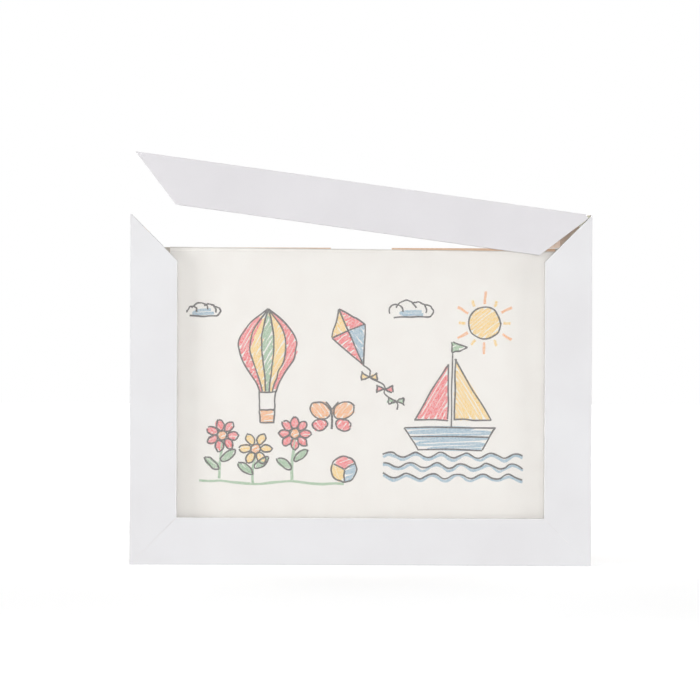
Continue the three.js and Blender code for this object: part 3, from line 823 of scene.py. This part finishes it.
@dataclass
class CrayonDrawing:
    """A child's drawing of a balloon, a kite, a boat and flowers, as thin films of wax and graphite.

    Each motif gives its outlines in millimetres about a point of its own, with slopes in degrees.
    """

    pack: PicturePack
    pencil: float = 1.3
    crayon: float = 2.1
    pitch: float = 2.2
    shake: float = 0.35
    pressure: Point = (0.75, 1.15)
    turn_inside: float = 0.4
    wax_cover: float = 0.45
    pencil_cover: float = 0.8
    wax_lift: float = 0.05
    pencil_lift: float = 0.1
    flatness: float = 0.03
    seam_gap: float = 0.0001
    strokes: list[Stroke] = field(default_factory=list)
    chance: random.Random = field(default_factory=lambda: random.Random(SEED))

    def shaky(self, path: Path) -> Path:
        """Move each point of a path a little, as a small hand does."""
        return [(u + self.chance.gauss(0, self.shake), v + self.chance.gauss(0, self.shake)) for u, v in path]

    def draw(self, path: Path, pigment: Pigment = Pigment.GRAPHITE, width: float | None = None) -> None:
        """Pull one stroke along a path, in pencil unless told otherwise."""
        default = self.pencil if pigment is Pigment.GRAPHITE else self.crayon
        self.strokes.append(Stroke(pigment, self.shaky(path), width or default))

    def line(self, start: Point, end: Point, steps: int = 4) -> None:
        """Draw one straight pencil line in a few steps."""
        run, rise = end[0] - start[0], end[1] - start[1]
        self.draw(placed(start, *((run * step / steps, rise * step / steps) for step in range(steps + 1))))

    def sides(self, corners: Path) -> None:
        """Draw a shape's straight sides one by one in pencil, so that its corners stay sharp."""
        for start, end in zip(corners, corners[1:] + corners[:1]):
            self.line(start, end)

    def scribble(self, pigment: Pigment, outline: Path, slope: float) -> None:
        """Fill a shape with one crayon stroke that runs to and fro.

        Args:
            pigment: The crayon.
            outline: The shape's corners, with no deep hollows along the strokes.
            slope: Direction of the strokes in degrees.
        """
        level_shape = turned(outline, (0, 0), -slope)
        heights = [v for _, v in level_shape]
        foot, height = min(heights), max(heights) - min(heights)
        rows = max(2, round(height / self.pitch))
        path: Path = []
        for row in range(rows):
            level = foot + (row + 0.5) * height / rows
            cuts = [u0 + (u1 - u0) * (level - v0) / (v1 - v0)
                    for (u0, v0), (u1, v1) in zip(level_shape, level_shape[1:] + level_shape[:1])
                    if (v0 < level) != (v1 < level)]
            middle = (min(cuts) + max(cuts)) / 2
            reach = max(0.0, (max(cuts) - min(cuts)) / 2 - self.crayon * self.turn_inside)
            row_points = [(middle - reach, level), (middle, level + self.shake), (middle + reach, level)]
            path += row_points if row % 2 else row_points[::-1]
        self.draw(turned(path, (0, 0), slope), pigment)

    def shape(self, pigment: Pigment, outline: Path, slope: float, curved: bool = False) -> None:
        """Fill a shape with crayon and go round it in pencil.

        Args:
            pigment: The crayon.
            outline: The shape's corners or points.
            slope: Direction of the crayon in degrees.
            curved: Whether the outline is one curve instead of straight sides.
        """
        self.scribble(pigment, outline, slope)
        if curved:
            self.draw(outline)
        else:
            self.sides(outline)

    def balloon(self, mouth: Point, height: float, bulge: float) -> None:
        """Draw a striped hot-air balloon with its basket.

        Args:
            mouth: Middle of its mouth.
            height: Height of the envelope.
            bulge: Added half width at its widest.
        """
        half_mouth, half_foot, rope_end, basket_top, basket_foot = 6, 5, 5.5, -14, -24
        crown_shift, steps = 1.3, 12

        def seam(share: float) -> Path:
            """Place points from the mouth to the crown along one seam."""
            rises = [step / steps for step in range(steps + 1)]
            return placed(mouth, *(
                (share * (half_mouth * (1 - t) + bulge * math.sin(math.pi * t ** crown_shift)), height * t)
                for t in rises))

        shares = (-1.0, -0.62, -0.2, 0.2, 0.62, 1.0)
        colours = (Pigment.RED, Pigment.YELLOW, Pigment.GREEN, Pigment.YELLOW, Pigment.RED)
        for left, right, colour in zip(shares, shares[1:], colours):
            self.scribble(colour, seam(left) + seam(right)[::-1], 62.0)
        for share in shares:
            self.draw(seam(share))
        self.line(*placed(mouth, (-half_mouth, 0), (half_mouth, 0)))
        basket = placed(mouth, (-half_mouth, basket_top), (half_mouth, basket_top),
                        (half_foot, basket_foot), (-half_foot, basket_foot))
        self.shape(Pigment.ORANGE, basket, 8.0)
        for side in (-1, 1):
            self.line(*placed(mouth, (side * half_mouth, 0), (side * rope_end, basket_top)))

    def kite(self, centre: Point, half: Point, lean: float) -> None:
        """Draw a four-coloured kite and its tail of bows.

        Args:
            centre: Where the spars cross.
            half: Half its width and the height of its upper part.
            lean: Its lean in degrees.
        """
        wide, tall = half
        below = 1.6 * tall
        corners = turned(placed(centre, (0, tall), (wide, 0), (0, -below), (-wide, 0)), centre, lean)
        for index, colour in enumerate((Pigment.RED, Pigment.BLUE, Pigment.RED, Pigment.YELLOW)):
            quarter = [corners[index], corners[(index + 1) % 4], centre]
            self.scribble(colour, quarter, 35.0 + 90.0 * (index % 2))
        self.sides(corners)
        self.line(corners[0], corners[2])
        self.line(corners[1], corners[3])
        swings = [(2.6 * step + 3 * math.sin(1.5 * step), -3.1 * step) for step in range(12)]
        tail = placed(corners[2], *swings)
        self.draw(tail)
        for step, colour in ((3, Pigment.YELLOW), (6, Pigment.RED), (9, Pigment.GREEN)):
            for side in (-1, 1):
                self.shape(colour, placed(tail[step], (0, 0), (side * 6, 3), (side * 6, -2.5)), 80.0)

    def sun(self, centre: Point, radius: float, rays: int) -> None:
        """Draw a sun with long and short rays.

        Args:
            centre: Its middle.
            radius: Its radius.
            rays: Number of rays.
        """
        self.shape(Pigment.YELLOW, oval(centre, (radius, radius)), 40.0, curved=True)
        start, steps = 1.2, 3
        for ray in range(rays):
            angle = math.tau * ray / rays
            end, colour = (1.95, Pigment.ORANGE) if ray % 2 else (1.6, Pigment.YELLOW)
            reaches = [radius * (start + (end - start) * step / steps) for step in range(steps + 1)]
            self.draw(placed(centre, *((r * math.cos(angle), r * math.sin(angle)) for r in reaches)), colour)

    def cloud(self, foot: Point, size: float) -> None:
        """Draw a cloud of four puffs on a flat foot.

        Args:
            foot: Middle of its foot.
            size: Half its width.
        """
        puffs = ((-0.68, 0.3, 200, -210), (-0.22, 0.48, 165, -150), (0.3, 0.42, 130, -140),
                 (0.72, 0.28, 110, -210))
        for shift, bulge, start, sweep in puffs:
            middle, = placed(foot, (shift * size, 0.28 * size))
            self.draw(oval(middle, (bulge * size, bulge * size), start, sweep, steps=10))
        self.line(*placed(foot, (-0.8 * size, 0), (0.8 * size, 0)))
        shade = placed(foot, (-0.7 * size, 1), (0.7 * size, 1), (0.5 * size, 5), (-0.5 * size, 5))
        self.scribble(Pigment.BLUE, shade, 4.0)

    def boat(self, mast: Point, height: float) -> None:
        """Draw a sailing boat.

        Args:
            mast: Foot of the mast on the deck.
            height: Height of the mast.
        """
        self.shape(Pigment.BLUE, placed(mast, (-36, 0), (34, 0), (24, -17), (-25, -17)), 3.0)
        self.line(*placed(mast, (-32, -7), (30, -7)))
        self.line(*placed(mast, (0, 0), (0, height)))
        self.shape(Pigment.YELLOW, placed(mast, (2.5, height - 5), (2.5, 6), (31, 6)), -58.0)
        self.shape(Pigment.RED, placed(mast, (-2.5, height - 9), (-2.5, 6), (-28, 6)), 60.0)
        self.shape(Pigment.GREEN, placed(mast, (0, height), (12, height + 4), (0, height + 8)), 10.0)

    def sea(self, start: float, end: float, heights: Sequence[float]) -> None:
        """Draw rows of waves, each in crayon with a pencil line over it.

        Args:
            start: Left end.
            end: Right end.
            heights: Height of each row on the sheet.
        """
        stride, swell, turn, lift = 3.6, 2.3, 1.15, 1.6
        steps = round((end - start) / stride)
        for row, height in enumerate(heights):
            crests = [(stride * step, swell * math.sin(turn * step + row)) for step in range(steps + 1)]
            self.draw(placed((start, height), *crests), Pigment.BLUE)
            self.draw(placed((start, height + lift), *crests))

    def flower(self, foot: Point, height: float, petal: Pigment, petals: int) -> None:
        """Draw a round flower with two leaves.

        Args:
            foot: Foot of the stem.
            height: Height of the bloom's middle above it.
            petal: Colour of the petals.
            petals: Number of petals.
        """
        stem = placed(foot, (0, 0), (-1, height * 0.35), (1, height * 0.7), (1.5, height - 4))
        self.draw(stem, Pigment.GREEN)
        for side, rise in ((-1, 0.22), (1, 0.4)):
            root, middle = placed(foot, (0, height * rise), (8, height * rise))
            slope = 90 - side * 52
            leaf = turned(oval(middle, (7, 2.8), steps=12), root, slope)
            self.shape(Pigment.GREEN, leaf, slope, curved=True)
        bloom, first = placed(foot, (1.5, height), (9.7, height))
        for index in range(petals):
            angle = 360 * index / petals
            self.shape(petal, turned(oval(first, (4.6, 3.2), steps=10), bloom, angle), angle, curved=True)
        self.shape(Pigment.ORANGE, oval(bloom, (3.8, 3.8), steps=12), 20.0, curved=True)

    def butterfly(self, centre: Point) -> None:
        """Draw a butterfly.

        Args:
            centre: Middle of its body.
        """
        for side in (-1, 1):
            for lift, radii, colour in ((6, (8.5, 6.5), Pigment.ORANGE), (-5, (6, 4.6), Pigment.RED)):
                middle, = placed(centre, (side * 9, lift))
                wing = turned(oval(middle, radii, steps=14), middle, side * lift * 4)
                self.shape(colour, wing, side * 50.0, curved=True)
            self.draw(placed(centre, (0, 7), (side * 2.5, 11), (side * 5, 13)))
        self.draw(placed(centre, (0, -8), (0.4, 0), (0, 7)), width=1.6)

    def ball(self, centre: Point, radius: float) -> None:
        """Draw a beach ball in three colours.

        Args:
            centre: Its middle.
            radius: Its radius.
        """
        for index, colour in enumerate((Pigment.RED, Pigment.YELLOW, Pigment.BLUE)):
            sector = oval(centre, (radius, radius), 30 + 120 * index, 120, steps=8) + [centre]
            self.scribble(colour, sector, 90.0 * index + 20)
            self.line(centre, sector[0])
        self.draw(oval(centre, (radius, radius)))

    def compose(self) -> None:
        """Lay the drawing out on the sheet, in millimetres from its middle."""
        self.sun((95, 49), radius=12.5, rays=12)
        self.cloud((38, 53), size=17)
        self.cloud((-122, 52), size=13)
        self.balloon((-72, -6), height=64, bulge=20)
        self.kite((-10, 42), half=(14, 18), lean=24)
        self.boat((70, -32), height=58)
        self.sea(start=18, end=126, heights=(-55, -63, -71))
        self.flower((-108, -74), 34, Pigment.RED, petals=7)
        self.flower((-82, -76), 26, Pigment.YELLOW, petals=6)
        self.flower((-52, -74), 36, Pigment.RED, petals=8)
        self.butterfly((-22, -26))
        self.ball((-12, -65), radius=10)
        ground = placed((-124, -76), *((8 * step, 1.2 * math.sin(0.9 * step)) for step in range(15)))
        self.draw(ground, Pigment.GREEN)

    def film(self, pigment: Pigment) -> Solid:
        """Lay all strokes of one colour on the sheet as closed films.

        Args:
            pigment: The colour.

        Returns:
            The films.
        """
        curve = bpy.data.curves.new("strokes", "CURVE")
        curve.dimensions = "3D"
        curve.bevel_depth = 1.0
        curve.bevel_resolution = 0
        curve.use_fill_caps = True
        for stroke in (s for s in self.strokes if s.pigment is pigment):
            spline = curve.splines.new("NURBS")
            spline.points.add(len(stroke.path) - 1)
            for point, (u, v) in zip(spline.points, stroke.path):
                point.co = (u, v, 0, 1)
                point.radius = stroke.width / 2 * self.chance.uniform(*self.pressure)
            spline.order_u = 3
            spline.use_endpoint_u = True
            spline.resolution_u = 3
        holder = bpy.data.objects.new("strokes", curve)
        mesh = bpy.data.meshes.new_from_object(holder)
        bm = bmesh.new()
        bm.from_mesh(mesh)
        for data, store in ((holder, bpy.data.objects), (curve, bpy.data.curves), (mesh, bpy.data.meshes)):
            store.remove(data)
        centre, front, lean = self.pack.sheet_frame()
        lift = self.pencil_lift if pigment is Pigment.GRAPHITE else self.wax_lift
        c, s = math.cos(lean), math.sin(lean)
        for vert in bm.verts:
            u, v, w = vert.co
            depth = self.pack.sag_at(u, v) - lift - w * self.flatness
            vert.co = (centre.x + (u * c + v * s) * MM, front + depth * MM, centre.z + (v * c - u * s) * MM)
        weld(bm, self.seam_gap)
        return bm

    def build(self) -> Iterator[Piece]:
        """Draw the picture, one piece for each colour.

        Yields:
            The pieces.
        """
        self.compose()
        for pigment in Pigment:
            name = pigment.name.lower()
            pencil = pigment is Pigment.GRAPHITE
            kind, cover = ("pencil", self.pencil_cover) if pencil else ("wax_crayon", self.wax_cover)
            finish = DryStroke(f"{kind}_{name}_on_paper", PAPER.colour, pigment.value, least=cover)
            yield add_piece(f"drawing_{name}", self.film(pigment), (finish,))


@dataclass
class CornerHinge:
    """The two hinge leaves on their rivet, with the washer between and the screws that hold them."""

    leaf_edge: float = 0.15
    rivet_shank: float = 1.1
    rivet_lip: float = 0.45
    head: float = 2.2
    head_height: float = 1.0
    shank: float = 1.2
    tip: float = 1.5
    recess_width: float = 0.6
    recess_arm: float = 0.95
    recess_depth: float = 0.8
    recess_turn: float = 25.0

    def recess(self) -> Solid:
        """Make the cross that a driver fits, in the middle of a head at the origin.

        Returns:
            The cross.
        """
        bm = bmesh.new()
        core = Vector((self.recess_width, 2 * self.recess_depth, self.recess_width)) * MM
        bmesh.ops.create_cube(bm, matrix=Matrix.Diagonal(core.to_4d()))
        bm.normal_update()
        sides = [f for f in bm.faces if abs(f.normal.y) < ALONG]
        for arm in bmesh.ops.extrude_discrete_faces(bm, faces=sides)["faces"]:
            bmesh.ops.translate(bm, verts=arm.verts, vec=arm.normal * self.recess_arm * MM)
        return bm

    def add_screw(self, node: str, body: str, inward: int) -> Piece:
        """Make a countersunk screw with a cross recess in a CAD screw's place.

        Args:
            node: The CAD screw.
            body: The body that it holds.
            inward: Side of Y that its tip points to, 1 or -1.

        Returns:
            The screw.
        """
        low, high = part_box(node)
        length = (high.y - low.y) / MM
        profile = [(0, 0), (self.head - RIM, 0), (self.head, RIM), (self.shank, self.head_height),
                   (self.shank, length - self.tip), (0, length)]
        screw = put_in_scene("screw", mesh_of("screw", spun(profile)))
        cross = put_in_scene("recess", mesh_of("recess", self.recess()))
        cut = screw.modifiers.new("recess", "BOOLEAN")
        cut.object = cross
        cut.operation = "DIFFERENCE"
        cut_screw = screw.evaluated_get(bpy.context.evaluated_depsgraph_get())
        result = bpy.data.meshes.new_from_object(cut_screw)
        bm = bmesh.new()
        bm.from_mesh(result)
        # This removes the objects that show the meshes too
        for mesh in (screw.data, cross.data, result):
            bpy.data.meshes.remove(mesh)
        middle = (low + high) / 2
        place = Matrix.Translation((middle.x, low.y if inward > 0 else high.y, middle.z))
        facing = Matrix.Rotation(0.0 if inward > 0 else math.pi, 4, "Z")
        turn = Matrix.Rotation(math.radians(self.recess_turn), 4, "Y")
        bmesh.ops.transform(bm, matrix=place @ facing @ turn, verts=bm.verts)
        return add_piece(f"{node}_cross_head", bm, (ZINC,), node, body)

    def build(self) -> Iterator[Piece]:
        """Round the stamped edges, prime the leaves in a pale coat that is partly painted light, and dress
        the steel.

        Yields:
            The pieces.
        """
        for node, body in (("fixed_hinge_leaf", "frame"), ("moving_hinge_leaf", "rail")):
            leaf = softened(node, self.leaf_edge)
            # The pale primer on the leaves is partly painted light for the shaded hinge slot
            yield add_piece(f"{node}_primed", leaf, (CHROMATE_PALED_AS_PAINTED_LIGHT,), node, body)
        rivet = rivet_of("hinge_rivet", self.rivet_shank, self.rivet_lip, flat_front=False)
        yield add_piece("hinge_rivet_domed", rivet, (PHOSPHATE,), "hinge_rivet")
        yield dress_node("hinge_washer", PHOSPHATE)
        for side, body, inward in (("fixed", "frame", 1), ("moving", "rail", -1)):
            for index in (1, 2):
                yield self.add_screw(f"{side}_leaf_screw_{index}", body, inward)


@dataclass
class BackFittings:
    """The hangers and their rivets, the points that hold the board and the nails across the mitres."""

    strip_edge: float = 0.2
    point_edge: float = 0.12
    point_corner: float = 2.2
    point_facets: int = 5
    point_bend: float = 2.6
    point_lift: float = 0.7
    rivet_shank: float = 1.5
    rivet_lip: float = 0.45
    inward: dict[str, Vector] = field(default_factory=lambda: {
        "left": Vector((1, 0, 0)), "right": Vector((-1, 0, 0)), "bottom": Vector((0, 0, 1)),
    })
    places: dict[str, tuple[str, ...]] = field(default_factory=lambda: {
        "left": ("low", "high"), "right": ("low", "high"), "bottom": ("left", "middle", "right"),
    })

    def add_rivet(self, node: str) -> Piece:
        """Put a rivet with a flat head in front and a domed head behind in a CAD rivet's place."""
        rivet = rivet_of(node, self.rivet_shank, self.rivet_lip, flat_front=True)
        return add_piece(f"{node}_domed", rivet, (NICKEL,), node)

    def add_point(self, side: str, place: str) -> Piece:
        """Make a steel point whose free end has rounded corners and is bent up for a fingernail.

        Args:
            side: The side of the board that the point holds.
            place: The point's place along it.

        Returns:
            The point.
        """
        node = f"board_point_{side}_{place}"
        inward = self.inward[side]
        bm = solid_of(node)
        _, reach = reach_along(bm, inward)
        corners = [e for e in bm.edges if abs(e.verts[0].co.y - e.verts[1].co.y) > self.point_edge * MM
                   and e.verts[0].co.dot(inward) > reach - self.point_edge * MM]
        round_edges(bm, corners, self.point_corner, self.point_facets)
        soften(bm, self.point_edge)
        bend = reach - self.point_bend * MM
        divide(bm, inward * bend, inward)
        for vert in bm.verts:
            vert.co.y += self.point_lift / self.point_bend * max(0.0, vert.co.dot(inward) - bend)
        return add_piece(f"steel_point_{side}_{place}", bm, (ZINC,), node)

    def build(self) -> Iterator[Piece]:
        """Round the pressed steel and plate it.

        Yields:
            The pieces.
        """
        for side in ("left", "right"):
            node = f"hanger_bracket_{side}"
            yield add_piece(f"hanger_{side}", softened(node, self.strip_edge), (ZINC,), node)
            for index in (1, 2):
                yield self.add_rivet(f"hanger_rivet_{side}_{index}")
            for index in (1, 2):
                yield dress_node(f"v_nail_{side}_{index}", ZINC)
        for side, places in self.places.items():
            for place in places:
                yield self.add_point(side, place)


@dataclass
class ClosingMagnets:
    """The pair of disc magnets in the free mitre."""

    chamfer: float = 0.3

    def build(self) -> Iterator[Piece]:
        """Chamfer the discs and plate them.

        Yields:
            The pieces.
        """
        for node, body in (("stile_magnet", "frame"), ("rail_magnet", "rail")):
            yield add_piece(f"{node}_disc", softened(node, self.chamfer), (NICKEL,), node, body)


@dataclass(frozen=True)
class Lamp:
    """A soft square lamp that faces the frame, in watts and metres."""

    name: str
    power: float
    place: Place
    width: float


@dataclass
class Studio:
    """A white floor, soft light from the front, the sides and above, and the camera of the photograph.

    The camera's place, lens and sensor are in millimetres, the rest of the room in metres.
    """

    camera_place: Place = (-6.2, -2510.0, 186.0)
    yaw: float = 0.05
    pitch: float = -0.47
    roll: float = -0.21
    lens: float = 167.26
    sensor: float = 36.0
    view_end: float = 50.0
    aim: Place = (0.0, 0.0, 0.14)
    ambient: float = 0.2
    floor_colour: str = "#F0F0F0"
    floor_radius: float = 5.0
    floor_corners: int = 96
    shadow_core: float = 0.5
    shadow_reach: float = 1.5
    shadow_floor: float = 0.32
    lamps: tuple[Lamp, ...] = (
        Lamp("key", 31.0, (0.08, -3.0, 0.27), 0.4),
        Lamp("side", 24.0, (-2.4, -1.15, 0.6), 1.0),
        Lamp("fill", 15.0, (2.5, -1.0, 0.6), 1.0),
        Lamp("top", 18.0, (0.0, -0.4, 2.4), 1.5),
        Lamp("back_left", 14.0, (-1.1, 1.6, 0.9), 1.2),
        Lamp("back_right", 14.0, (1.1, 1.6, 0.9), 1.2),
    )

    def add_camera(self) -> None:
        """Stand the camera where the photograph was taken."""
        camera = bpy.data.cameras.new("camera")
        camera.lens = self.lens
        camera.sensor_width = self.sensor
        camera.clip_end = self.view_end
        holder = put_in_scene("camera", camera)
        level = 90.0
        place = Matrix.Translation(Vector(self.camera_place) * MM)
        for angle, axis in ((self.yaw, "Z"), (self.pitch, "X"), (self.roll, "Y"), (level, "X")):
            place = place @ Matrix.Rotation(math.radians(angle), 4, axis)
        holder.matrix_world = place
        bpy.context.scene.camera = holder

    def add_lamp(self, lamp: Lamp) -> None:
        """Hang a lamp and aim it at the middle of the frame.

        Args:
            lamp: The lamp.
        """
        light = bpy.data.lights.new(lamp.name, "AREA")
        light.energy = lamp.power
        light.size = lamp.width
        beam = Vector(self.aim) - Vector(lamp.place)
        turn = beam.to_track_quat("-Z", "Y").to_matrix().to_4x4()
        put_in_scene(lamp.name, light).matrix_world = Matrix.Translation(lamp.place) @ turn

    def add_world(self) -> None:
        """Show the eye and every mirror a white room, and light the frame a little less."""
        world = bpy.data.worlds.new("white_room")
        tree = empty_tree(world)
        path = add_node(tree, "LightPath").outputs
        seen = path["Is Camera Ray"]
        for ray in ("Is Glossy Ray", "Is Transmission Ray"):
            seen = add_node(tree, "Math", {0: seen, 1: path[ray]}, operation="MAXIMUM").outputs[0]
        level = {"Value": seen, "To Min": self.ambient, "To Max": 1.0}
        strength = add_node(tree, "MapRange", level).outputs[0]
        room = add_node(tree, "Background", {"Color": WHITE, "Strength": strength})
        add_node(tree, "OutputWorld", {"Surface": room.outputs[0]})
        bpy.context.scene.world = world

    def add_floor(self) -> None:
        """Lay a floor that is white to the eye, a little less around the frame so that its shadow shows."""
        bm = bmesh.new()
        bmesh.ops.create_circle(bm, cap_ends=True, radius=self.floor_radius, segments=self.floor_corners)
        mesh = mesh_of("floor", bm)
        material = bpy.data.materials.new("white_studio_floor")
        tree = empty_tree(material)
        place = add_node(tree, "TexCoord").outputs["Object"]
        away = add_node(tree, "VectorMath", {0: place}, operation="LENGTH")
        rise = {"Value": away.outputs["Value"], "From Min": self.shadow_core, "From Max": self.shadow_reach,
                "To Min": self.shadow_floor, "To Max": 1.0}
        level = add_node(tree, "MapRange", rise).outputs[0]
        seen = add_node(tree, "LightPath").outputs["Is Camera Ray"]
        glow = add_node(tree, "Math", {0: level, 1: seen}, operation="MULTIPLY").outputs[0]
        lit = add_node(tree, "BsdfDiffuse", {"Color": linear(self.floor_colour)})
        bright = add_node(tree, "Emission", {"Color": WHITE, "Strength": glow})
        both = add_node(tree, "AddShader", {0: lit.outputs[0], 1: bright.outputs[0]})
        add_node(tree, "OutputMaterial", {"Surface": both.outputs[0]})
        mesh.materials.append(material)
        put_in_scene("floor", mesh)

    def build(self) -> None:
        """Set the camera, the floor and the lights."""
        bpy.context.scene.view_settings.view_transform = "Standard"
        self.add_camera()
        self.add_world()
        self.add_floor()
        for lamp in self.lamps:
            self.add_lamp(lamp)


def main() -> None:
    """Build the frame from its members to its fittings, then the studio around it."""
    logging.basicConfig(level=logging.INFO, format="%(message)s")
    pack = PicturePack()
    for part in (MitredMembers(), pack, CrayonDrawing(pack), CornerHinge(), BackFittings(), ClosingMagnets()):
        for piece in part.build():
            LOG.info("%s: %s, %d faces", type(part).__name__, piece.name, len(piece.data.polygons))
    Studio().build()


if __name__ == "__main__":
    main()
